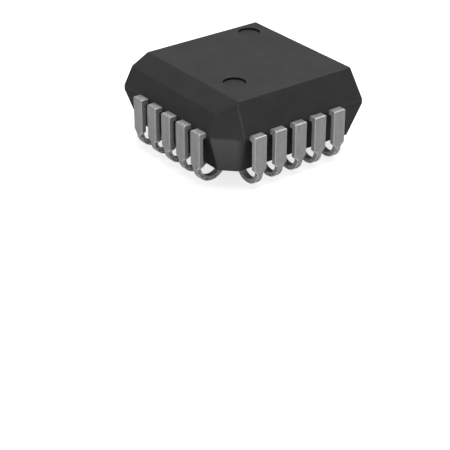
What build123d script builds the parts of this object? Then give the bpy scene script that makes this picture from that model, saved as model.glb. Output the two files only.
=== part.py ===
from build123d import *
import math
import os

# A square plastic leaded chip carrier with J-shaped leads on all four sides, in millimetres.
# The leads stand on z = 0 and +Z points up through the flat top face.
# The bevelled side is at -Y, and the index corner is at +X, -Y.

# Lead rows
lead_pitch = 1.27
leads_per_side = 5
row_end_margin = 1.91         # from the last lead's centre line to the body's corner

# Moulded body
upper_depth = 1.73            # from the lead frame's upper side up to the top face
lower_depth = 1.84            # from the lead frame's lower side down to the belly
standoff = 0.75               # from the seating plane up to the belly
top_inset = 0.50              # how far the draft draws in the top face's edges
belly_inset = 0.51            # how far the draft draws in the belly's edges
index_chamfer = 1.205         # index corner at the parting band, measured along each side
index_chamfer_top = 0.64      # the same facet at the top face
index_chamfer_belly = 0.76    # the same facet at the belly
bevel_run = 0.755             # bevel on the first lead's side, across the top face
bevel_drop = 0.65             # the same bevel, down from the top face
corner_radius = 0.05          # slanted edges at the three square corners
upper_index_radius = 0.10     # edges of the index facet above the leads
lower_index_radius = 0.35     # softer edges of the index facet under them
top_edge_chamfer = 0.03       # worn edge of the mould around the top face
pin_mark_radius = 0.60        # two shallow ejector pin marks in the top face
pin_mark_depth = 0.12
back_mark_place = (-3.00, 2.75)
front_mark_place = (1.92, -1.96)

# Outer leads
lead_thickness = 0.25
lead_reach = 0.44             # from the body's edge to the outer face of the leads
lead_width = 0.75
foot_width = 0.34             # the narrow part that curls under the body
shoulder_outer_radius = 0.07
shoulder_inner_radius = 0.08
curl_radius = 0.92            # outer radius of the curl
neck_rise = 0.11              # the wide part ends this far above the curl's start
tip_gap = 0.06                # the curl's tip stays this far under the belly
lead_edge_chamfer = 0.03      # stamping breaks the outer side's edges and leaves the inner ones sharp

# Lead frame inside the body
anchor_length = 0.55          # full-width part of each lead inside the body
finger_width = 0.42
finger_pitch = 0.80
finger_gap = 0.30             # between the fingers' tips and the paddle
paddle_width = 3.80
paddle_downset = 0.20
tie_bar_width = 0.26
tie_bar_bend_run = 0.25
tie_bar_cover = 0.35          # plastic left between a tie bar's end and the index facet

# Die and wires
attach_thickness = 0.03
attach_margin = 0.06
die_width = 2.10
die_thickness = 0.38
pad_pitch = 0.36
pad_inset = 0.10              # from the die's edge to the middle of its pads
wire_diameter = 0.03
wire_loop_height = 0.20
wire_sides = 6                # wires and their balls are drawn in flats, to keep few faces
ball_diameter = 0.09
ball_height = 0.03
stitch_length = 0.09
stitch_width = 0.06
stitch_height = 0.03
stitch_place = 0.18           # from a finger's tip to the middle of the stitch

# Worked out from the sizes above
lead_count = 4 * leads_per_side
body_width = (leads_per_side - 1) * lead_pitch + 2 * row_end_margin
body_half = body_width / 2
top_half = body_half - top_inset
belly_half = body_half - belly_inset
frame_bottom = standoff + lower_depth
frame_top = frame_bottom + lead_thickness
frame_middle = (frame_bottom + frame_top) / 2
top_height = frame_top + upper_depth
outer_face = body_half + lead_reach
curl_inner_radius = curl_radius - lead_thickness
curl_centre = outer_face - curl_radius
curl_sweep = 180 - math.degrees(math.asin((curl_radius - standoff + tip_gap) / curl_inner_radius))
finger_start = body_half - anchor_length
finger_tip = paddle_width / 2 + finger_gap
paddle_top = frame_top - paddle_downset
attach_top = paddle_top + attach_thickness
die_top = attach_top + die_thickness
blank = 2 * body_width        # size of the blocks that cut the body's flats


def beyond(first, second, third):
    """A block that lies on the outer side of the plane through three points."""
    a, b, c = Vector(*first), Vector(*second), Vector(*third)
    along = b - a
    outward = along.cross(c - a)
    if outward.dot(a - Vector(0, 0, frame_middle)) < 0:
        outward = outward * -1
    seat = Plane(origin=a, x_dir=along, z_dir=outward)
    return seat * Box(blank, blank, blank, align=(Align.CENTER, Align.CENTER, Align.MIN))


def index_block(height, half_far, chamfer_far, height_far):
    """What the index facet takes off one half of the body, from its wide end to its far one."""
    return beyond(
        (body_half - index_chamfer, -body_half, height),
        (body_half, index_chamfer - body_half, height),
        (half_far - chamfer_far, -half_far, height_far),
    )


def corner_edges(solid):
    """The slanted edges at the three square corners."""
    return [
        edge for edge in solid.edges()
        if abs(abs(edge.center().X) - abs(edge.center().Y)) < 0.001 and edge.bounding_box().size.Z > lead_thickness
    ]


def index_edges(solid):
    """The two slanted edges that bound the index facet."""
    return [
        edge for edge in solid.edges()
        if edge.center().X > 0 > edge.center().Y
        and abs(edge.center().X + edge.center().Y) > 0.1
        and abs(abs(edge.center().X) - abs(edge.center().Y)) < index_chamfer
        and edge.bounding_box().size.Z > lead_thickness
    ]


def upper_body():
    """Upper half: drafted sides, index facet, the bevel on the first lead's side, and the band between the leads."""
    draft = math.degrees(math.atan2(top_inset, upper_depth))
    half = Pos(0, 0, frame_top) * extrude(Rectangle(body_width, body_width), upper_depth, taper=draft)
    half -= index_block(frame_top, top_half, index_chamfer_top, top_height)
    half = fillet(corner_edges(half), corner_radius)
    half = fillet(index_edges(half), upper_index_radius)
    bevel_low = top_height - bevel_drop
    bevel_low_half = top_half + top_inset * bevel_drop / upper_depth
    half -= beyond(
        (-top_half, bevel_run - top_half, top_height),
        (top_half, bevel_run - top_half, top_height),
        (0, -bevel_low_half, bevel_low),
    )
    half = chamfer(half.faces().sort_by(Axis.Z)[-1].edges(), top_edge_chamfer)
    for place in (back_mark_place, front_mark_place):
        mark = Cylinder(pin_mark_radius, pin_mark_depth, align=(Align.CENTER, Align.CENTER, Align.MAX))
        half -= Pos(*place, top_height) * mark
    band = extrude(half.faces().sort_by(Axis.Z)[0], lead_thickness)
    return half + band


def lower_body():
    """Lower half: the draft draws in to the flat belly, with soft corners."""
    draft = math.degrees(math.atan2(belly_inset, lower_depth))
    half = Pos(0, 0, frame_bottom) * (
        Rot(X=180) * extrude(Rectangle(body_width, body_width), lower_depth, taper=draft)
    )
    half -= index_block(frame_bottom, belly_half, index_chamfer_belly, standoff)
    half = fillet(corner_edges(half), corner_radius)
    return fillet(index_edges(half), lower_index_radius)


def outer_line():
    """The strip's outer side: out of the body, down, and round the curl."""
    return [
        Polyline((finger_start, frame_top), (outer_face, frame_top), (outer_face, curl_radius)),
        CenterArc((curl_centre, curl_radius), curl_radius, 0, -curl_sweep),
    ]


def lead_strip():
    """One lead's strip outside the body: shoulder, straight drop and the curl under the body."""
    outer_side = outer_line()
    inner_arc = CenterArc((curl_centre, curl_radius), curl_inner_radius, 0, -curl_sweep)
    outline = outer_side + [
        Line(outer_side[-1] @ 1, inner_arc @ 1),
        inner_arc,
        Polyline(
            (outer_face - lead_thickness, curl_radius),
            (outer_face - lead_thickness, frame_bottom),
            (finger_start, frame_bottom),
            (finger_start, frame_top),
        ),
    ]
    section = make_face(outline)
    outer_bend = section.vertices().sort_by_distance((outer_face, frame_top))[0]
    section = fillet(outer_bend, shoulder_outer_radius)
    inner_bend = section.vertices().sort_by_distance((outer_face - lead_thickness, frame_bottom))[0]
    section = fillet(inner_bend, shoulder_inner_radius)
    return extrude(Plane.XZ * section, lead_width / 2, both=True)


def neck_cuts():
    """What is stamped off both sides of the strip to leave the narrow foot."""
    neck_top = curl_radius + neck_rise
    side_cut = (lead_width - foot_width) / 2
    outline = Polyline(
        (lead_width / 2 + side_cut, neck_top + side_cut),
        (foot_width / 2, neck_top - side_cut),
        (foot_width / 2, -curl_radius),
        (lead_width / 2 + side_cut, -curl_radius),
        close=True,
    )
    one = extrude(Plane.YZ * make_face(outline), outer_face + lead_reach)
    return [one, mirror(one, Plane.XZ)]


def inner_finger(place):
    """The part of a lead inside the body, fanned towards the paddle."""
    root = place * lead_pitch
    tip = place * finger_pitch
    outline = Polyline(
        (finger_start, root - lead_width / 2),
        (finger_start, root + lead_width / 2),
        (finger_tip, tip + finger_width / 2),
        (finger_tip, tip - finger_width / 2),
        close=True,
    )
    return Pos(0, 0, frame_bottom) * extrude(make_face(outline), lead_thickness)


def outer_lead():
    """The strip with its foot narrowed, and the outer side's long edges broken by the stamping."""
    strip = lead_strip() - neck_cuts()
    outer_side = Plane.XZ * (Curve() + outer_line())
    broken_edges = []
    for edge in strip.edges():
        middle = edge.position_at(0.5)
        runs_across = abs(edge.tangent_at(0.5).Y) > 0.9
        depth = outer_side.distance_to(Vector(middle.X, 0, middle.Z))
        if not runs_across and depth < lead_thickness / 3:
            broken_edges.append(edge)
    return chamfer(broken_edges, lead_edge_chamfer)


def bond_wire(place):
    """One wire with its ball on the die and its stitch on the finger."""
    start = Vector(die_width / 2 - pad_inset, place * pad_pitch, 0)
    reach = finger_tip + stitch_place
    fan = (reach - finger_tip) / (finger_start - finger_tip)
    end = Vector(reach, place * (finger_pitch + (lead_pitch - finger_pitch) * fan), 0)
    span = (end - start).length
    heading = (end - start).normalized()
    upright = Plane(origin=start, x_dir=heading, z_dir=heading.cross(Vector(0, 0, 1)))
    path = upright * Polyline(
        (0, die_top + ball_height / 2),
        (0, die_top + wire_loop_height),
        (span, frame_top + stitch_height / 2),
    )
    section = Plane(origin=path @ 0, z_dir=path % 0) * RegularPolygon(wire_diameter / 2, wire_sides)
    wire = sweep(section, path, transition=Transition.RIGHT)
    ball = extrude(RegularPolygon(ball_diameter / 2, wire_sides), ball_height)
    stitch = Box(stitch_length, stitch_height, stitch_width, align=(Align.CENTER, Align.MIN, Align.CENTER))
    return wire + upright * Pos(span, frame_top) * stitch + Pos(start.X, start.Y, die_top) * ball


def die_paddle():
    """The plate under the die, with a tie bar to each corner."""
    paddle = Pos(0, 0, paddle_top) * Box(
        paddle_width, paddle_width, lead_thickness, align=(Align.CENTER, Align.CENTER, Align.MAX)
    )
    corner = paddle_width / 2 * math.sqrt(2)
    end = (body_width - index_chamfer) / math.sqrt(2) - tie_bar_cover
    outline = Polyline(
        (corner - tie_bar_width, paddle_top),
        (corner, paddle_top),
        (corner + tie_bar_bend_run, frame_top),
        (end, frame_top),
        (end, frame_bottom),
        (corner + tie_bar_bend_run, frame_bottom),
        (corner, paddle_top - lead_thickness),
        (corner - tie_bar_width, paddle_top - lead_thickness),
        close=True,
    )
    bar = extrude(Plane.XZ * make_face(outline), tie_bar_width / 2, both=True)
    for turn in range(4):
        paddle += Rot(Z=45 + 90 * turn) * bar
    return paddle


def plate(width, height, bottom):
    """A square plate centred on the chip's axis."""
    return Pos(0, 0, bottom) * Box(width, width, height, align=(Align.CENTER, Align.CENTER, Align.MIN))


def lead_number(side, place):
    """Number of a lead, counted anticlockwise from the middle of the bevelled side."""
    before_corner = leads_per_side - leads_per_side // 2
    return (before_corner + side * leads_per_side + place) % lead_count + 1


def build():
    """Every piece by name."""
    pieces = {
        "die_paddle": die_paddle(),
        "die_attach": plate(die_width + 2 * attach_margin, attach_thickness, paddle_top),
        "silicon_die": plate(die_width, die_thickness, attach_top),
    }
    strip = outer_lead()
    for side in range(4):
        turn = Rot(Z=90 * side)
        for place in range(leads_per_side):
            offset = place - (leads_per_side - 1) / 2
            number = lead_number(side, place)
            lead = Pos(0, offset * lead_pitch, 0) * strip + inner_finger(offset)
            pieces[f"lead_{number:02d}"] = turn * lead
            pieces[f"bond_wire_{number:02d}"] = turn * bond_wire(offset)
    pieces["package_body"] = upper_body() + lower_body() - list(pieces.values())
    return pieces


os.makedirs("parts", exist_ok=True)
for name, piece in build().items():
    export_step(piece, f"parts/{name}.step")
print(f"body {body_width:.2f} wide, {2 * outer_face:.2f} over the leads, {top_height:.2f} high")
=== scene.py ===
import math

import bmesh
import bpy
from bpy.props import FloatProperty, FloatVectorProperty, PointerProperty
from bpy.types import Operator, Panel, PropertyGroup
from mathutils import Matrix, Vector


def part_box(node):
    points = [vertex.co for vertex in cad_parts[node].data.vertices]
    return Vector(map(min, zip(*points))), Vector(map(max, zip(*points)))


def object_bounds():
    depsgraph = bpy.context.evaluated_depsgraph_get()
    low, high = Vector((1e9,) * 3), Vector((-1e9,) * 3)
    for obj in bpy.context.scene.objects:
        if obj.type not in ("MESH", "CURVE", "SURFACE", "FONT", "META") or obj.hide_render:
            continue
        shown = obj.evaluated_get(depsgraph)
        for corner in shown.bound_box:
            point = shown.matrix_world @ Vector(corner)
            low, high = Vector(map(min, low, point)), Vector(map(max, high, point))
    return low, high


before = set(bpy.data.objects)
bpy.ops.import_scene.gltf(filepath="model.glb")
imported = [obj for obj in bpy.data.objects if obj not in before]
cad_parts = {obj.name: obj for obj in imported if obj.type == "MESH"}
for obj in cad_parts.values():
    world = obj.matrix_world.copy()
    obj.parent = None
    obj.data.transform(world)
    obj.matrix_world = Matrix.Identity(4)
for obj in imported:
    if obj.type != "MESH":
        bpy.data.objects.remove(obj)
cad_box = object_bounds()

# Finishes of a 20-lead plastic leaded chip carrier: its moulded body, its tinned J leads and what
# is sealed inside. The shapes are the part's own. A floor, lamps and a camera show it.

bl_info = {
    "name": "Leaded Chip Carrier",
    "version": (1, 0, 0),
    "blender": (4, 5, 0),
    "location": "View3D > Sidebar > Chip",
    "description": "Dresses a plastic leaded chip carrier and sets it on a pale floor",
    "category": "Object",
}

micron = 1e-6
millimetre = 1e-3

chip_centre = (cad_box[0] + cad_box[1]) / 2
chip_width = cad_box[1].x - cad_box[0].x
chip_foot = cad_box[0].z
chip_top = cad_box[1].z

facet_facing = (math.sqrt(0.5), -math.sqrt(0.5), 0.0)  # which way the index facet faces
corner_distance = 0.66 * chip_width  # past this x - y, a point is in the index corner
lower_band_top = 2.69 * millimetre  # height on the upright band where the lower half's painted shade and the facet's painted light begin
lower_band_blend = 0.09 * millimetre  # how far the painted shade blends, each way from there
pin_mark_depth = 0.12 * millimetre
shoulder_foot = 2.3 * millimetre  # the leads' shoulders are above this height
torn_heights = (0.7 * millimetre, 1.3 * millimetre)  # going up, the leads' sides get less torn
cracked_heights = (0.75 * millimetre, 1.15 * millimetre)  # and here the curls' cracks end

floor_reach = 60 * chip_width
lamp_distance = 9 * chip_width
overhead_width = 8 * chip_width
front_width = 5 * chip_width

bevel_samples = 8
middle_contrast = (0.35, 0.65)  # a noise's values that become none and all


# Sizes and colours that a user would change

def colour(name, description, default):
    """A colour setting."""
    return FloatVectorProperty(
        name=name, description=description, default=default, size=3, min=0.0, max=1.0,
        subtype="COLOR",
    )


def length(name, description, default):
    """A length setting, in metres."""
    return FloatProperty(
        name=name, description=description, default=default, min=0.0, precision=6,
        subtype="DISTANCE", unit="LENGTH",
    )


def share(name, description, default):
    """A setting from none to all."""
    return FloatProperty(
        name=name, description=description, default=default, min=0.0, max=1.0, subtype="FACTOR"
    )


def angle(name, description, degrees):
    """An angle setting."""
    return FloatProperty(
        name=name, description=description, default=math.radians(degrees),
        subtype="ANGLE", unit="ROTATION",
    )


class MouldingSettings(PropertyGroup):
    """Finish of the moulded body."""
    body_colour: colour(
        "Compound", "Charcoal of the moulding compound", (0.0415, 0.0415, 0.0410)
    )
    bloom_colour: colour(
        "Bloom", "Paler skin where the compound's resin has bloomed", (0.062, 0.062, 0.0612)
    )
    # Painted shade: the lower half is darker, for the shade behind and between the leads
    lower_shade_colour: colour(
        "Lower half", "Painted shade on the lower half, behind and between the leads",
        (0.020, 0.020, 0.0198),
    )
    # Painted light: the lower index facet is paler, for the bright floor that it faces and mirrors
    facet_light_colour: colour(
        "Painted facet light", "Painted light on the lower index facet, for the bright floor it faces", (0.108, 0.108, 0.106)
    )
    # Wear along the sharp edges, and a painted highlight on the rounded upright edges
    edge_wear_and_highlight_colour: colour(
        "Worn edge and highlight", "Rubbed compound along the body's edges, and a painted highlight on its rounded upright edges", (0.105, 0.105, 0.103)
    )
    speck_colour: colour("Filler", "Silica filler grains at the surface", (0.16, 0.16, 0.155))
    # Painted shade: the pin marks' walls are near black, for the shade that falls in them
    pin_mark_shade_colour: colour(
        "Pin mark shade", "Painted shade in the pin marks", (0.010, 0.010, 0.010)
    )
    grain_size: length("Grain size", "Width of the mould's spark-eroded grain", 45 * micron)
    grain_depth: length("Grain depth", "Depth of the grain", 1.6 * micron)
    edge_width: length("Edge width", "Rounding of the sharp edges", 35 * micron)
    wear_reach: length("Wear reach", "How far the rubbing reaches from an edge", 75 * micron)
    # Reach of the painted light on the lower index facet
    facet_light_spread: length(
        "Facet light spread", "How far the painted facet light reaches each way", 0.62 * millimetre
    )
    roughness: share("Roughness", "Roughness of the moulded skin", 0.55)
    rougher_front: share(
        "Rougher front", "How much rougher the lower half is on the first lead's side", 0.12
    )
    gloss: share("Gloss", "Specular level of the moulded skin", 0.28)


class LeadSettings(PropertyGroup):
    """Finish of the tinned leads."""
    tin_colour: colour("Tin", "Satin tin plate on the leads", (0.438, 0.438, 0.436))
    dull_colour: colour("Dull lines", "Darker lines drawn along the strip", (0.360, 0.360, 0.358))
    # Burnish on the stamped edges, partly a painted highlight; painted highlights on the shoulders'
    # bends and neck cuts; and the curls' bright flakes
    bright_tin_and_highlight_colour: colour(
        "Bright tin and highlight", "Tin burnished along the stamped edges, with painted highlights", (0.88, 0.88, 0.875)
    )
    # Painted light: the left and right rows' sheared sides are a lit copy, the front and back rows'
    # a shaded copy
    sheared_colour: colour(
        "Sheared side", "Torn tin on the stamped sides of the left and right rows, painted lighter as lit",
        (0.72, 0.72, 0.715),
    )
    shaded_sheared_colour: colour(
        "Shaded sheared side", "The same on the front and back rows, painted darker as shaded",
        (0.40, 0.40, 0.397),
    )
    pit_colour: colour("Torn pits", "Dark pits on the stamped sides", (0.20, 0.20, 0.198))
    line_width: length("Line width", "Width of the lines drawn along the strip", 42 * micron)
    line_depth: length("Line depth", "Depth of those lines", 0.9 * micron)
    edge_width: length("Edge width", "How far the burnished edges reach", 42 * micron)
    pit_size: length("Pit size", "Width of the pits on the stamped sides", 60 * micron)
    crack_size: length(
        "Crack size", "Width of the flakes where the tin cracks in the curl", 85 * micron
    )
    roughness: share("Roughness", "Roughness of the tin plate", 0.58)


class InnerSettings(PropertyGroup):
    """Finish of what is sealed in the body."""
    copper_colour: colour("Copper", "Bare copper alloy of the die paddle", (0.66, 0.36, 0.22))
    tarnish_colour: colour("Tarnish", "Heat tint on the copper alloy", (0.36, 0.17, 0.12))
    epoxy_colour: colour("Die attach", "Silver-filled epoxy under the die", (0.42, 0.42, 0.40))
    flake_colour: colour("Flakes", "Silver flakes in the epoxy", (0.80, 0.80, 0.78))
    silicon_colour: colour("Silicon", "Polished silicon", (0.055, 0.060, 0.085))
    track_colour: colour("Tracks", "Metal tracks on the die", (0.34, 0.33, 0.30))
    gold_colour: colour("Gold", "Gold of the bond wires", (0.86, 0.58, 0.22))


class StageSettings(PropertyGroup):
    """Camera, lamps and floor."""
    view_azimuth: angle(
        "Azimuth", "Camera's direction, turned from the first lead's side", 53.262
    )
    view_elevation: angle("Elevation", "How far the camera's axis points down", 29.442)
    view_distance: length(
        "Distance", "From the camera to the point that it looks at", 75.125 * millimetre
    )
    aim_left: length(
        "Aim left", "How far left of the chip's foot the camera aims", 0.892 * millimetre
    )
    aim_down: length(
        "Aim down", "How far under the chip's foot the camera aims", 4.499 * millimetre
    )
    focal_length: FloatProperty(
        name="Lens", description="Focal length of the camera", default=112.81, min=1.0,
        subtype="DISTANCE_CAMERA",
    )
    floor_colour: colour("Floor", "Pale floor that the chip stands on", (0.88, 0.88, 0.88))
    floor_glow: share(
        "Floor glow", "White that the floor adds where it is seen near the chip", 0.74
    )
    shadow_reach: length(
        "Shadow reach", "How far from the chip the floor keeps its shadow", 20 * millimetre
    )
    mirrored_white: share(
        "Mirrored white", "How much of the white surroundings shows in reflections", 0.15
    )
    ambient: share("Ambient", "Light from all round", 0.12)
    key_azimuth: angle(
        "Overhead azimuth", "Where the overhead softbox hangs, turned from the first lead's side",
        208.0,
    )
    key_height: angle("Overhead height", "How high the overhead softbox hangs", 75.0)
    key_strength: share("Overhead lamp", "Strength of the softbox over the chip", 0.85)
    fill_height: angle("Front height", "How high the softbox by the camera stands", 10.0)
    fill_strength: share("Front lamp", "Strength of the softbox by the camera", 0.20)


# Building nodes

def add(tree, kind, label, **settings):
    """Adds a labelled node with its settings."""
    node = tree.nodes.new(kind)
    node.label = label
    for name, value in settings.items():
        setattr(node, name, value)
    return node


def join(tree, source, socket):
    """Links a socket to its source, or sets it to a value. A colour is three numbers."""
    if isinstance(source, bpy.types.NodeSocket):
        tree.links.new(source, socket)
    elif socket.type == "RGBA":
        socket.default_value = (*source, 1.0)
    else:
        socket.default_value = source


def feed(tree, node, **sources):
    """Joins a node's inputs, named in lower case with underscores for spaces."""
    for name, source in sources.items():
        named = (s for s in node.inputs if s.name.lower().replace(" ", "_") == name and s.enabled)
        join(tree, source, next(named))
    return node


def arithmetic(tree, label, operation, *sources, kind="ShaderNodeMath"):
    """One step of arithmetic on numbers or, by its kind, on vectors, and the number it gives."""
    node = add(tree, kind, label, operation=operation)
    for source, socket in zip(sources, node.inputs):
        join(tree, source, socket)
    return node.outputs["Value"]


def product(tree, label, first, second):
    """Two values multiplied."""
    return arithmetic(tree, label, "MULTIPLY", first, second)


def greater(tree, label, first, second):
    """The greater of two values."""
    return arithmetic(tree, label, "MAXIMUM", first, second)


def agreement(tree, label, first, second):
    """How far two directions agree: 1 where they are the same, and 0 at right angles."""
    return arithmetic(tree, label, "DOT_PRODUCT", first, second, kind="ShaderNodeVectorMath")


def remap(tree, label, value, old, new=(0.0, 1.0)):
    """A clamped Map Range between two pairs of limits, and its result."""
    node = add(tree, "ShaderNodeMapRange", label, clamp=True)
    feed(tree, node, value=value, from_min=old[0], from_max=old[1], to_min=new[0], to_max=new[1])
    return node.outputs["Result"]


def mix_colours(tree, label, mask, first, second):
    """Two colours mixed by a mask. Each is a socket or a colour of three numbers."""
    node = add(tree, "ShaderNodeMix", label, data_type="RGBA")
    tree.links.new(mask, node.inputs["Factor"])
    for source, socket in zip((first, second), (s for s in node.inputs if s.type == "RGBA")):
        join(tree, source, socket)
    return next(s for s in node.outputs if s.type == "RGBA")


def noise(tree, label, vector, scale, detail, roughness):
    """A noise's value. detail is how many finer layers it has, roughness how strong they are."""
    node = add(tree, "ShaderNodeTexNoise", label)
    feed(tree, node, vector=vector, scale=scale, detail=detail, roughness=roughness)
    return node.outputs[0]


def parts(tree, label, vector):
    """A vector's X, Y and Z, by name."""
    return feed(tree, add(tree, "ShaderNodeSeparateXYZ", label), vector=vector).outputs


def surface(tree, normal):
    """The surface's Normal or True Normal."""
    return add(tree, "ShaderNodeNewGeometry", "Surface").outputs[normal]


def drawn_out(tree, vector, across, along_scale):
    """A vector that changes slowly along a strip, and as it was on the axes named across it."""
    node = add(tree, "ShaderNodeMapping", "Along the strip")
    scale = [1.0 if axis in across else along_scale for axis in "XYZ"]
    return feed(tree, node, vector=vector, scale=scale).outputs["Vector"]


def new_group(name, vectors, numbers, values, normals=()):
    """An empty node group, what it is given by name, and its output node.

    It takes vectors, and numbers with their defaults. It puts out values and normals.
    """
    tree = bpy.data.node_groups.new(name, "ShaderNodeTree")
    for side, kind, names in (
        ("INPUT", "NodeSocketVector", vectors),
        ("INPUT", "NodeSocketFloat", numbers),
        ("OUTPUT", "NodeSocketFloat", values),
        ("OUTPUT", "NodeSocketVector", normals),
    ):
        for socket_name in names:
            socket = tree.interface.new_socket(socket_name, in_out=side, socket_type=kind)
            if names is numbers:
                socket.default_value = numbers[socket_name]
    return tree, tree.nodes.new("NodeGroupInput").outputs, tree.nodes.new("NodeGroupOutput")


# Effects, each a node group that is built once

def edge_wear_group():
    """Rounds the normal at sharp edges and masks them, broken up as real rubbing is."""
    tree, given, result = new_group(
        "Edge wear",
        ["Vector"],
        {
            "Width": 0.0, "Reach": 0.0, "Least Turn": 0.995, "Full Turn": 0.90,
            "Least Wear": 0.25, "Patch Scale": 1.0,
        },
        ["Mask"],
        ["Normal"],
    )
    rounded = add(tree, "ShaderNodeBevel", "Rounded edge", samples=bevel_samples)
    feed(tree, rounded, radius=given["Width"])
    rubbed_over = add(tree, "ShaderNodeBevel", "Rubbed over", samples=bevel_samples)
    feed(tree, rubbed_over, radius=given["Reach"])
    turned = agreement(tree, "Turned", rubbed_over.outputs["Normal"], surface(tree, "Normal"))
    turns = (given["Least Turn"], given["Full Turn"])
    near_edge = remap(tree, "Near an edge", turned, turns)
    patches = noise(tree, "Rubbed patches", given["Vector"], given["Patch Scale"], 4.0, 0.6)
    edge_mark = remap(tree, "Rubbed", patches, (0.35, 0.62), (given["Least Wear"], 1.0))
    wear = product(tree, "Wear", near_edge, edge_mark)
    feed(tree, result, mask=wear, normal=rounded.outputs["Normal"])
    return tree


def moulded_grain_group():
    """Fine grain from a spark-eroded mould, slow blotches, and grains of filler."""
    tree, given, result = new_group(
        "Moulded grain", ["Vector"], {"Grain Scale": 1.0}, ["Height", "Blotches", "Specks"]
    )
    vector, scale = given["Vector"], given["Grain Scale"]
    fine = noise(tree, "Fine grain", vector, scale, 2.0, 0.5)
    craters = add(tree, "ShaderNodeTexVoronoi", "Craters", feature="SMOOTH_F1")
    crater_scale = product(tree, "Crater scale", scale, 0.6)
    feed(tree, craters, vector=vector, scale=crater_scale, smoothness=0.6)
    height = arithmetic(
        tree, "Grain height", "MULTIPLY_ADD", fine, 0.6, craters.outputs["Distance"]
    )
    blotch_scale = product(tree, "Blotch scale", scale, 0.035)
    slow = noise(tree, "Blotches", vector, blotch_scale, 5.0, 0.6)
    blotches = remap(tree, "Blotch contrast", slow, middle_contrast)
    filler = add(tree, "ShaderNodeTexVoronoi", "Filler grains", feature="F1")
    feed(tree, filler, vector=vector, scale=product(tree, "Filler scale", scale, 0.45))
    near_grain = remap(
        tree, "Grain of filler", filler.outputs["Distance"], (0.10, 0.22), (1.0, 0.0)
    )
    picked = add(tree, "ShaderNodeSeparateColor", "Which grains show")
    feed(tree, picked, color=filler.outputs["Color"])
    chosen = remap(tree, "Few of them", picked.outputs["Red"], (0.80, 0.92))
    specks = product(tree, "Specks", near_grain, chosen)
    feed(tree, result, height=height, blotches=blotches, specks=specks)
    return tree


def drawn_lines_group():
    """Fine lines and broader bands, along a rolled strip where the vector is drawn out along it."""
    tree, given, result = new_group(
        "Drawn lines", ["Vector"], {"Line Scale": 1.0}, ["Height", "Lines", "Bands"]
    )
    vector, scale = given["Vector"], given["Line Scale"]
    fine = noise(tree, "Fine lines", vector, scale, 3.0, 0.6)
    band_scale = product(tree, "Band scale", scale, 0.3)
    broad = noise(tree, "Broad bands", vector, band_scale, 2.0, 0.5)
    lines = remap(tree, "Line contrast", fine, middle_contrast)
    bands = remap(tree, "Band contrast", broad, middle_contrast)
    feed(tree, result, height=fine, lines=lines, bands=bands)
    return tree


def facet_light_group():
    """Painted light on the lower index facet, for the bright floor that it faces, in the index
    corner.

    It ends at the index facet's front edge and fades out behind it.
    """
    tree, given, result = new_group(
        "Painted facet light", ["Vector"], {"Spread": 1.0, "Height": 1.0, "Corner Distance": 1.0}, ["Mask"]
    )
    farthest = 2.1  # where the painted light has faded out, in spreads
    left_at_foot = 0.55  # how much of it is left at the body's foot
    place = parts(tree, "Place", given["Vector"])
    across = arithmetic(tree, "Across the corner", "ADD", place["X"], place["Y"])
    far = product(tree, "Far edge", given["Spread"], farthest)
    near_corner = remap(tree, "Near the corner", across, (given["Spread"], far), (1.0, 0.0))
    facing = agreement(tree, "Facing the corner", surface(tree, "Normal"), facet_facing)
    on_facet = remap(tree, "On the facet", facing, (0.80, 0.94))
    behind = arithmetic(tree, "Behind the corner's middle", "GREATER_THAN", across, 0.0)
    bounded = greater(tree, "Up to the front edge", on_facet, behind)
    near_corner = product(tree, "Corner and facet edge", near_corner, bounded)
    outwards = arithmetic(tree, "Towards the corner", "SUBTRACT", place["X"], place["Y"])
    in_corner = arithmetic(
        tree, "In the index corner", "GREATER_THAN", outwards, given["Corner Distance"]
    )
    heights = (0.0, given["Height"])
    fading = remap(tree, "Fades downwards", place["Z"], heights, (left_at_foot, 1.0))
    mask = product(tree, "Near and in the corner", near_corner, in_corner)
    feed(tree, result, mask=product(tree, "Painted facet light", mask, fading))
    return tree


def sheared_side_group():
    """Finds a strip's stamped sides, the pits torn in them, and the slanted cuts at the neck."""
    tree, given, result = new_group(
        "Sheared side", ["Vector", "Across"], {"Pit Scale": 1.0}, ["Mask", "Pits", "Neck Cuts"]
    )
    facing = surface(tree, "True Normal")
    one_side = agreement(tree, "Facing across", facing, given["Across"])
    either = arithmetic(tree, "Either side", "ABSOLUTE", one_side)
    stamped = remap(tree, "Stamped side", either, (0.85, 0.97))
    down = remap(tree, "Turned down", parts(tree, "Facing", facing)["Z"], (-0.2, -0.35))
    slanted = remap(tree, "Slanted", either, (0.25, 0.40))
    neck_cuts = product(tree, "Neck cuts", down, slanted)
    torn = noise(tree, "Torn metal", given["Vector"], given["Pit Scale"], 4.0, 0.7)
    pits = remap(tree, "Pit contrast", torn, (0.42, 0.60), (1.0, 0.0))
    feed(tree, result, mask=stamped, pits=pits, neck_cuts=neck_cuts)
    return tree


def upright_edge_highlight_group():
    """Finds the body's rounded upright edges, where the wall turns between two of its eight ways,
    for a painted highlight.

    For a normal x, y, the product x * y * (x * x - y * y) is zero on all eight, and its sign
    says on which side of a wall the edge is.
    """
    tree, given, result = new_group("Upright edge highlight", [], {"Front Share": 1.0}, ["Mask"])
    facing = parts(tree, "Facing", surface(tree, "Normal"))
    x, y = facing["X"], facing["Y"]
    x_squared = product(tree, "X squared", x, x)
    y_squared = product(tree, "Y squared", y, y)
    squares = arithmetic(tree, "Squares", "SUBTRACT", x_squared, y_squared)
    turned = product(tree, "Turned between the walls", product(tree, "Product", x, y), squares)
    behind = remap(tree, "Edge behind a facet", turned, (-0.01, -0.08))
    before = remap(
        tree, "Edge before a facet", turned, (0.01, 0.08), (0.0, given["Front Share"])
    )
    feed(tree, result, mask=greater(tree, "Rounded edge", behind, before))
    return tree


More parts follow.
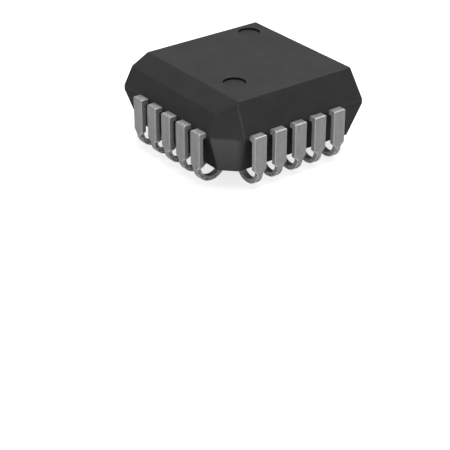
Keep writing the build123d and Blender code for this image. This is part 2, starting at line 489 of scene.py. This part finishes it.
def pin_mark_group():
    """Finds the upright walls of the ejector pin marks near the top face, and their sunk floors."""
    tree, given, result = new_group(
        "Pin marks", ["Vector"], {"Top": 1.0, "Depth": 1.0}, ["Walls", "Floors"]
    )
    height = parts(tree, "Place", given["Vector"])["Z"]
    facing = parts(tree, "Facing", surface(tree, "True Normal"))
    tilt = arithmetic(tree, "Tilt", "ABSOLUTE", facing["Z"])
    sunk = arithmetic(tree, "Sunk", "SUBTRACT", given["Top"], height)
    below_top = remap(tree, "Below the top face", sunk, (0.0, given["Depth"]))
    lowest = product(tree, "Reach down", given["Depth"], 1.5)
    not_deeper = arithmetic(tree, "No deeper", "LESS_THAN", sunk, lowest)
    upright = arithmetic(tree, "Upright", "LESS_THAN", tilt, 0.1)
    level = arithmetic(tree, "Level", "GREATER_THAN", tilt, 0.95)
    walls = product(tree, "Walls", upright, not_deeper)
    floors = product(tree, "Level and sunk", level, below_top)
    feed(tree, result, walls=walls, floors=product(tree, "Floors", floors, not_deeper))
    return tree


def shoulder_bend_group():
    """Finds the outer side of the shoulder's bend, where a highlight is painted."""
    tree, given, result = new_group(
        "Shoulder bend", ["Vector"], {"Lowest": 0.0, "Flat Share": 0.3}, ["Mask"]
    )
    height = parts(tree, "Place", given["Vector"])["Z"]
    upwards = parts(tree, "Facing", surface(tree, "Normal"))["Z"]
    turned_up = remap(tree, "Turned up", upwards, (0.05, 0.40))
    not_flat = remap(tree, "Not yet flat", upwards, (0.86, 0.985), (1.0, given["Flat Share"]))
    high = arithmetic(tree, "On the shoulder", "GREATER_THAN", height, given["Lowest"])
    mask = product(tree, "Bend", turned_up, not_flat)
    feed(tree, result, mask=product(tree, "Shoulder bend", mask, high))
    return tree


def handling_group():
    """Slow clouds of handling film and tarnish."""
    tree, given, result = new_group("Handling film", ["Vector"], {"Cloud Scale": 1.0}, ["Film"])
    clouds = noise(tree, "Clouds", given["Vector"], given["Cloud Scale"], 5.0, 0.62)
    feed(tree, result, film=remap(tree, "Cloud contrast", clouds, (0.38, 0.66)))
    return tree


effect_names = {}


def effect(tree, maker, **sources):
    """Places an effect in a material, building its group the first time, and gives its outputs."""
    group = bpy.data.node_groups.get(effect_names.get(maker, ""))
    if group is None:
        group = maker()
        effect_names[maker] = group.name
    node = add(tree, "ShaderNodeGroup", group.name, node_tree=group)
    return feed(tree, node, **sources).outputs


# Finishes

def emptied_tree(owner):
    """The node tree of a material or world, emptied."""
    owner.use_nodes = True
    owner.node_tree.nodes.clear()
    return owner.node_tree


def new_material(name, metallic):
    """A material with one Principled shader, a plain metallic, and its object coordinates."""
    material = bpy.data.materials.new(name)
    tree = emptied_tree(material)
    shader = feed(tree, add(tree, "ShaderNodeBsdfPrincipled", name), metallic=metallic)
    output = add(tree, "ShaderNodeOutputMaterial", "Surface")
    tree.links.new(shader.outputs["BSDF"], output.inputs["Surface"])
    place = add(tree, "ShaderNodeTexCoord", "Place on the piece").outputs["Object"]
    return material, tree, shader, place


def bumped(tree, height, depth, **normal):
    """A bump of a real depth, over a given normal where there is one."""
    node = add(tree, "ShaderNodeBump", "Relief")
    return feed(tree, node, strength=1.0, distance=depth, height=height, **normal).outputs["Normal"]


def moulding_material(settings):
    """Matt charcoal epoxy out of a finely eroded mould."""
    faint = 0.45  # how much the blotches, the filler and the worn edges show
    corner_highlight_share = 0.60  # and the painted highlight on the rounded upright edges
    front_share = 0.35  # how much of that is left on an edge before a facet
    floor_shade = 0.12  # how much of the pin marks' painted shade is on their floors
    film_roughness = 0.10  # what the handling film adds at most
    front_wall = (-0.85, -0.92)  # Y of the normal, from beside the first lead's side to on it

    material, tree, shader, place = new_material("moulding_compound_finish", 0.0)
    grain = effect(tree, moulded_grain_group, vector=place, grain_scale=1 / settings.grain_size)
    wear = effect(
        tree, edge_wear_group, vector=place, width=settings.edge_width, reach=settings.wear_reach,
        least_turn=0.999, full_turn=0.965, patch_scale=1 / (6 * settings.grain_size),
    )
    film = effect(tree, handling_group, vector=place, cloud_scale=1 / (2.2 * millimetre))
    blotches = product(tree, "Faint blotches", grain["Blotches"], faint)
    skin = mix_colours(tree, "Bloomed skin", blotches, settings.body_colour, settings.bloom_colour)
    specks = product(tree, "Faint specks", grain["Specks"], faint)
    skin = mix_colours(tree, "Filler in the skin", specks, skin, settings.speck_colour)

    # The lower half's darker colour is painted shade, for the shade behind and between the leads.
    height = parts(tree, "Height on the body", place)["Z"]
    lower_band_edges = (lower_band_top + lower_band_blend, lower_band_top - lower_band_blend)
    under = remap(tree, "Lower half", height, lower_band_edges)
    skin = mix_colours(tree, "Painted lower shade", under, skin, settings.lower_shade_colour)
    # Painted light on the lower index facet, for the bright floor that it faces and mirrors; it
    # fades towards the foot.
    facet_light = effect(
        tree, facet_light_group, vector=place, spread=settings.facet_light_spread, height=lower_band_top,
        corner_distance=corner_distance,
    )
    facet_light_below = product(tree, "Facet light below", facet_light["Mask"], under)
    skin = mix_colours(tree, "Painted light on the facet", facet_light_below, skin, settings.facet_light_colour)

    worn = product(tree, "Faint wear", wear["Mask"], faint)
    skin = mix_colours(tree, "Rubbed edges", worn, skin, settings.edge_wear_and_highlight_colour)
    # A painted highlight on the upper half's rounded upright edges, full on an edge behind a facet
    # and fainter before one.
    corner_highlight_mask = effect(tree, upright_edge_highlight_group, front_share=front_share)
    above = arithmetic(tree, "Upper half", "SUBTRACT", 1.0, under)
    edge_mark = product(tree, "Highlight above", corner_highlight_mask["Mask"], above)
    edge_mark = product(tree, "Faint highlight", edge_mark, corner_highlight_share)
    skin = mix_colours(tree, "Painted corner highlights", edge_mark, skin, settings.edge_wear_and_highlight_colour)

    # Painted shade in the pin marks: their walls are near black, and their floors a little darker.
    marks = effect(tree, pin_mark_group, vector=place, top=chip_top, depth=pin_mark_depth)
    walls, floors = marks["Walls"], product(tree, "Faint shade", marks["Floors"], floor_shade)
    skin = mix_colours(tree, "Walls of the pin marks", walls, skin, settings.pin_mark_shade_colour)
    skin = mix_colours(tree, "Floors of the pin marks", floors, skin, settings.pin_mark_shade_colour)

    film_range = (settings.roughness, settings.roughness + film_roughness)
    roughness = remap(tree, "Film", film["Film"], (0.0, 1.0), film_range)
    facing = parts(tree, "Facing", surface(tree, "True Normal"))
    on_front = remap(
        tree, "On the first lead's side", facing["Y"], front_wall, (0.0, settings.rougher_front)
    )
    rougher = product(tree, "Rougher below", under, on_front)
    roughness = arithmetic(tree, "Roughness", "ADD", roughness, rougher)
    normal = bumped(tree, grain["Height"], settings.grain_depth, normal=wear["Normal"])
    feed(
        tree, shader, base_color=skin, roughness=roughness, normal=normal,
        specular_ior_level=settings.gloss,
    )
    return material


def tin_material(settings, name, across, sheared_colour, bend_shine, flat_share):
    """Satin tin plate with lines along the strip.

    across is the axis over the strip's width. bend_shine is how bright the highlight painted on the
    shoulder's bend is, which is also made smoother, and flat_share how much of that is left on its
    flat top.
    """
    torn_curl, torn_leg = 0.9, 0.25  # how much the pits show on the sides, low down and above
    cracks_on_faces = 0.55  # how much of the stamped sides' cracking the faces have
    darkest_crack = 0.60
    brightest_flake = 0.8
    smoother = -0.22  # what burnishing and pressing add to the roughness
    scattering_metallic = 0.55  # metallic of torn and cracked tin, which also scatters light

    material, tree, shader, place = new_material(name, 1.0)
    strip = drawn_out(tree, place, across, along_scale=0.035)
    lines = effect(tree, drawn_lines_group, vector=strip, line_scale=1 / settings.line_width)
    wear = effect(
        tree, edge_wear_group, vector=place, width=settings.edge_width, reach=settings.edge_width,
        least_wear=0.5, patch_scale=1 / (4 * settings.line_width),
    )
    film = effect(tree, handling_group, vector=place, cloud_scale=1 / (0.45 * millimetre))
    dull = product(tree, "Dull lines", lines["Lines"], lines["Bands"])
    tin = mix_colours(tree, "Lined tin", dull, settings.tin_colour, settings.dull_colour)

    sides = effect(
        tree, sheared_side_group, vector=place, across=[float(axis == across) for axis in "XYZ"],
        pit_scale=1 / settings.pit_size,
    )
    height = parts(tree, "Height on the lead", place)["Z"]
    torn_more = remap(
        tree, "Torn more in the curl", height, torn_heights, (torn_curl, torn_leg)
    )
    pits = product(tree, "Pits", sides["Pits"], torn_more)
    # The sheared colour carries painted light: lighter on the left and right rows, darker on the
    # front and back rows.
    torn = mix_colours(tree, "Torn sides", pits, sheared_colour, settings.pit_colour)
    tin = mix_colours(tree, "Faces and sides", sides["Mask"], tin, torn)

    curl = remap(tree, "In the curl", height, cracked_heights, (1.0, 0.0))
    cracked = noise(tree, "Cracked tin", place, 1 / settings.crack_size, 3.0, 0.6)
    cracking = remap(
        tree, "Cracked most on the sides", sides["Mask"], (0.0, 1.0), (cracks_on_faces, 1.0)
    )
    cracking = product(tree, "Cracked in the curl", cracking, curl)
    dark = remap(tree, "Dark cracks", cracked, (0.50, 0.40), (0.0, darkest_crack))
    opened = product(tree, "Cracks", dark, cracking)
    tin = mix_colours(tree, "Cracks in the curl", opened, tin, settings.pit_colour)
    light = remap(tree, "Bright flakes", cracked, (0.46, 0.58), (0.0, brightest_flake))
    raised = product(tree, "Flakes", light, cracking)
    tin = mix_colours(tree, "Flakes in the curl", raised, tin, settings.bright_tin_and_highlight_colour)

    bend = effect(
        tree, shoulder_bend_group, vector=place, lowest=shoulder_foot, flat_share=flat_share
    )
    # A highlight is painted on the outer side of each shoulder's bend, which is also made smoother.
    bend_highlight = product(tree, "Painted bend highlight", bend["Mask"], bend_shine)
    # Burnish along the stamped edges is partly a painted highlight.
    bright = greater(tree, "Bright tin", wear["Mask"], bend_highlight)
    # The neck cuts, facing down, get a painted reflection of the bright floor under the chip.
    bright = greater(tree, "Bright tin and necks", bright, sides["Neck Cuts"])
    tin = mix_colours(tree, "Burnish and painted highlights", bright, tin, settings.bright_tin_and_highlight_colour)

    film_range = (settings.roughness - 0.04, settings.roughness + 0.06)
    film_roughness = remap(tree, "Film", film["Film"], (0.0, 1.0), film_range)
    line_roughness = remap(tree, "Lines", lines["Lines"], (0.0, 1.0), (-0.03, 0.03))
    roughness = arithmetic(tree, "Film and lines", "ADD", film_roughness, line_roughness)
    for label, gloss_label, mask in (
        ("Rubbed roughness", "Gloss of the edges", wear["Mask"]),
        ("Roughness", "Gloss of the bends", bend_highlight),
    ):
        gloss = product(tree, gloss_label, mask, smoother)
        roughness = arithmetic(tree, label, "ADD", roughness, gloss)
    scattering = greater(tree, "Torn or cracked", sides["Mask"], curl)
    scattering = greater(tree, "Torn, cracked or cut", scattering, sides["Neck Cuts"])
    metallic = remap(tree, "Scattering tin", scattering, (0.0, 1.0), (1.0, scattering_metallic))
    normal = bumped(tree, lines["Height"], settings.line_depth, normal=wear["Normal"])
    feed(tree, shader, base_color=tin, roughness=roughness, metallic=metallic, normal=normal)
    return material


def copper_material(settings):
    """Bare copper alloy strip, tinted by the heat of moulding."""
    material, tree, shader, place = new_material("copper_frame_finish", 1.0)
    strip = drawn_out(tree, place, "XZ", along_scale=0.05)
    lines = effect(tree, drawn_lines_group, vector=strip, line_scale=1 / (30 * micron))
    film = effect(tree, handling_group, vector=place, cloud_scale=1 / (0.9 * millimetre))
    tint = product(tree, "Heat tint", film["Film"], 0.6)
    copper = mix_colours(
        tree, "Tinted copper", tint, settings.copper_colour, settings.tarnish_colour
    )
    roughness = remap(tree, "Lines", lines["Lines"], (0.0, 1.0), (0.28, 0.42))
    normal = bumped(tree, lines["Height"], depth=0.6 * micron)
    feed(tree, shader, base_color=copper, roughness=roughness, normal=normal)
    return material


def epoxy_material(settings):
    """Cured epoxy full of silver flakes."""
    material, tree, shader, place = new_material("silver_epoxy_finish", 0.0)
    grain = effect(tree, moulded_grain_group, vector=place, grain_scale=1 / (18 * micron))
    flakes = mix_colours(
        tree, "Flakes", grain["Specks"], settings.epoxy_colour, settings.flake_colour
    )
    roughness = remap(tree, "Flake gloss", grain["Specks"], (0.0, 1.0), (0.55, 0.30))
    normal = bumped(tree, grain["Height"], depth=2.0 * micron)
    feed(tree, shader, base_color=flakes, roughness=roughness, normal=normal)
    return material


def silicon_material(settings):
    """Polished silicon with blocks of metal tracks."""
    material, tree, shader, place = new_material("silicon_finish", 0.0)
    blocks = add(tree, "ShaderNodeTexBrick", "Circuit blocks", offset=0.5, squash=1.4)
    feed(
        tree, blocks, vector=place, scale=1 / (0.22 * millimetre), mortar_size=0.04,
        color1=settings.silicon_colour, color2=[0.7 * part for part in settings.silicon_colour],
        mortar=settings.track_colour,
    )
    film = effect(tree, handling_group, vector=place, cloud_scale=1 / (0.3 * millimetre))
    roughness = remap(tree, "Polish", film["Film"], (0.0, 1.0), (0.08, 0.16))
    normal = bumped(tree, blocks.outputs["Fac"], depth=0.8 * micron)
    feed(tree, shader, base_color=blocks.outputs["Color"], roughness=roughness, normal=normal)
    return material


def gold_material(settings):
    """Bright drawn gold wire."""
    material, tree, shader, place = new_material("gold_wire_finish", 1.0)
    film = effect(tree, handling_group, vector=place, cloud_scale=1 / (60 * micron))
    deeper = [0.8 * part for part in settings.gold_colour]
    gold = mix_colours(tree, "Gold", film["Film"], settings.gold_colour, deeper)
    roughness = remap(tree, "Drawn skin", film["Film"], (0.0, 1.0), (0.16, 0.28))
    feed(tree, shader, base_color=gold, roughness=roughness)
    return material


def dress(node_name, material):
    """Gives a CAD node its finish."""
    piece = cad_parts[node_name]
    piece.data.materials.clear()
    piece.data.materials.append(material)


def nodes_named(start):
    """The CAD nodes whose names start so, in order."""
    return sorted(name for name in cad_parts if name.startswith(start))


# The stage

def new_object(name, data):
    """A new object in the scene."""
    thing = bpy.data.objects.new(name, data)
    bpy.context.scene.collection.objects.link(thing)
    return thing


def whiteness(tree, settings):
    """One where a surface is seen straight or through glass, and a share of that in reflections."""
    path = add(tree, "ShaderNodeLightPath", "Ray").outputs
    mirrored = product(tree, "Mirrored", path["Is Glossy Ray"], settings.mirrored_white)
    straight = greater(tree, "Seen", path["Is Camera Ray"], path["Is Transmission Ray"])
    return greater(tree, "Seen or mirrored", straight, mirrored)


def floor_material(settings):
    """Pale matt floor that keeps the chip's shadow, and is seen as white farther off."""
    material = bpy.data.materials.new("floor_finish")
    tree = emptied_tree(material)
    paint = feed(tree, add(tree, "ShaderNodeBsdfDiffuse", "Paint"), color=settings.floor_colour)
    place = add(tree, "ShaderNodeTexCoord", "Place on the floor").outputs["Object"]
    distance = arithmetic(
        tree, "Distance from the chip", "LENGTH", place, kind="ShaderNodeVectorMath"
    )
    whitening = (settings.shadow_reach, 3 * settings.shadow_reach)
    far = remap(tree, "Whiter farther off", distance, whitening, (settings.floor_glow, 1.0))
    strength = product(tree, "Glow where seen", whiteness(tree, settings), far)
    glow = feed(tree, add(tree, "ShaderNodeEmission", "Glow"), strength=strength)
    bright = add(tree, "ShaderNodeAddShader", "Paint and glow")
    tree.links.new(paint.outputs["BSDF"], bright.inputs[0])
    tree.links.new(glow.outputs["Emission"], bright.inputs[1])
    output = add(tree, "ShaderNodeOutputMaterial", "Surface")
    tree.links.new(bright.outputs["Shader"], output.inputs["Surface"])
    return material


def lay_floor(settings):
    """A wide plane at the height of the lowest leads."""
    mesh = bpy.data.meshes.new("floor")
    sheet = bmesh.new()
    bmesh.ops.create_grid(sheet, x_segments=1, y_segments=1, size=floor_reach)
    bmesh.ops.translate(sheet, verts=sheet.verts, vec=(0, 0, chip_foot))
    sheet.to_mesh(mesh)
    sheet.free()
    mesh.materials.append(floor_material(settings))
    floor = new_object("floor", mesh)


def light_world(settings):
    """White where it is seen, a share of that where mirrored, and a plain soft light elsewhere."""
    world = bpy.data.worlds.new("studio")
    bpy.context.scene.world = world
    tree = emptied_tree(world)
    seen = whiteness(tree, settings)
    strength = remap(tree, "White where seen", seen, (0.0, 1.0), (settings.ambient, 1.0))
    light = add(tree, "ShaderNodeBackground", "Soft light")
    feed(tree, light, color=(1.0, 1.0, 1.0), strength=strength)
    output = add(tree, "ShaderNodeOutputWorld", "World")
    tree.links.new(light.outputs["Background"], output.inputs["Surface"])


def direction(turn, rise):
    """The unit vector turned so far from the first lead's side and raised so far from level."""
    level = math.cos(rise)
    return Vector((math.sin(turn) * level, -math.cos(turn) * level, math.sin(rise)))


def hang_lamp(name, turn, rise, width, strength):
    """A square softbox aimed at the chip. A strength of 1 lights a white surface to plain white."""
    away = lamp_distance * direction(turn, rise)
    lamp = bpy.data.lights.new(name, "AREA")
    lamp.shape = "SQUARE"
    lamp.size = width
    lamp.energy = strength * math.pi ** 2 * lamp_distance ** 2
    softbox = new_object(name, lamp)
    facing_chip = away.to_track_quat("Z", "Y").to_matrix().to_4x4()
    softbox.matrix_world = Matrix.Translation(chip_centre + away) @ facing_chip
    softbox.visible_camera = False


def aim_camera(settings):
    """The photograph's viewing angle, lens and framing."""
    back = direction(settings.view_azimuth, settings.view_elevation)
    right = Vector((0, 0, 1)).cross(back).normalized()
    up = back.cross(right)
    place = settings.view_distance * back - settings.aim_left * right - settings.aim_down * up
    lens = bpy.data.cameras.new("camera")
    lens.sensor_fit = "HORIZONTAL"
    lens.sensor_width = 36.0
    lens.lens = settings.focal_length
    lens.clip_start = 0.1 * settings.view_distance
    lens.clip_end = 100 * settings.view_distance
    camera = new_object("camera", lens)
    turned = Matrix((right, up, back)).transposed().to_4x4()
    camera.matrix_world = Matrix.Translation(place) @ turned
    bpy.context.scene.camera = camera


# Operators

class CHIP_OT_package_body(Operator):
    """Finish the moulded body"""
    bl_idname = "chip.package_body"
    bl_label = "Package body"

    def execute(self, context):
        dress("package_body", moulding_material(context.scene.chip_moulding))
        return {"FINISHED"}


class CHIP_OT_leads(Operator):
    """Finish the J leads, with their drawn lines along each row's strips"""
    bl_idname = "chip.leads"
    bl_label = "Leads"

    def execute(self, context):
        settings = context.scene.chip_leads
        # The rows' finishes are lit and shaded copies: the front and back rows get darker sheared
        # sides and a different painted highlight on the bends.
        finishes = {
            "X": tin_material(
                settings, "tin_finish_front_and_back", "X", settings.shaded_sheared_colour,
                bend_shine=0.50, flat_share=1.0,
            ),
            "Y": tin_material(
                settings, "tin_finish_left_and_right", "Y", settings.sheared_colour,
                bend_shine=0.74, flat_share=0.36,
            ),
        }
        for name in nodes_named("lead_"):
            low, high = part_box(name)
            middle = (low + high) / 2
            across = "X" if abs(middle.y) > abs(middle.x) else "Y"
            dress(name, finishes[across])
        return {"FINISHED"}


class CHIP_OT_die_paddle(Operator):
    """Finish the die paddle and its tie bars"""
    bl_idname = "chip.die_paddle"
    bl_label = "Die paddle"

    def execute(self, context):
        dress("die_paddle", copper_material(context.scene.chip_inner))
        return {"FINISHED"}


class CHIP_OT_die(Operator):
    """Finish the silicon die and the epoxy that holds it"""
    bl_idname = "chip.die"
    bl_label = "Die and its attach"

    def execute(self, context):
        dress("die_attach", epoxy_material(context.scene.chip_inner))
        dress("silicon_die", silicon_material(context.scene.chip_inner))
        return {"FINISHED"}


class CHIP_OT_bond_wires(Operator):
    """Finish the bond wires"""
    bl_idname = "chip.bond_wires"
    bl_label = "Bond wires"

    def execute(self, context):
        gold = gold_material(context.scene.chip_inner)
        for name in nodes_named("bond_wire_"):
            dress(name, gold)
        return {"FINISHED"}


class CHIP_OT_stage(Operator):
    """Lay the floor, light it and aim the camera"""
    bl_idname = "chip.stage"
    bl_label = "Floor, lamps and camera"

    def execute(self, context):
        settings = context.scene.chip_stage
        lay_floor(settings)
        light_world(settings)
        hang_lamp(
            "overhead_softbox", settings.key_azimuth, settings.key_height, overhead_width,
            settings.key_strength,
        )
        hang_lamp(
            "front_softbox", settings.view_azimuth, settings.fill_height, front_width,
            settings.fill_strength,
        )
        aim_camera(settings)
        context.scene.view_settings.view_transform = "Standard"
        return {"FINISHED"}


class CHIP_PT_sidebar(Panel):
    """Lists the chip's pieces and the stage"""
    bl_idname = "CHIP_PT_sidebar"
    bl_label = "Leaded chip carrier"
    bl_space_type = "VIEW_3D"
    bl_region_type = "UI"
    bl_category = "Chip"

    def draw(self, context):
        for settings, operators in sidebar_sections:
            section = self.layout.box()
            group = getattr(context.scene, settings)
            for name in group.__annotations__:
                section.prop(group, name)
            for operator in operators:
                section.operator(operator.bl_idname)


setting_groups = {
    "chip_moulding": MouldingSettings,
    "chip_leads": LeadSettings,
    "chip_inner": InnerSettings,
    "chip_stage": StageSettings,
}
sidebar_sections = (
    ("chip_moulding", (CHIP_OT_package_body,)),
    ("chip_leads", (CHIP_OT_leads,)),
    ("chip_inner", (CHIP_OT_die_paddle, CHIP_OT_die, CHIP_OT_bond_wires)),
    ("chip_stage", (CHIP_OT_stage,)),
)
classes = (
    *setting_groups.values(),
    *(operator for _, operators in sidebar_sections for operator in operators),
    CHIP_PT_sidebar,
)


def register():
    for cls in classes:
        bpy.utils.register_class(cls)
    for name, group in setting_groups.items():
        setattr(bpy.types.Scene, name, PointerProperty(type=group))


def unregister():
    for name in setting_groups:
        delattr(bpy.types.Scene, name)
    for cls in reversed(classes):
        bpy.utils.unregister_class(cls)


def main():
    register()
    bpy.ops.chip.package_body()
    bpy.ops.chip.leads()
    bpy.ops.chip.die_paddle()
    bpy.ops.chip.die()
    bpy.ops.chip.bond_wires()
    bpy.ops.chip.stage()


if __name__ == "__main__":
    main()
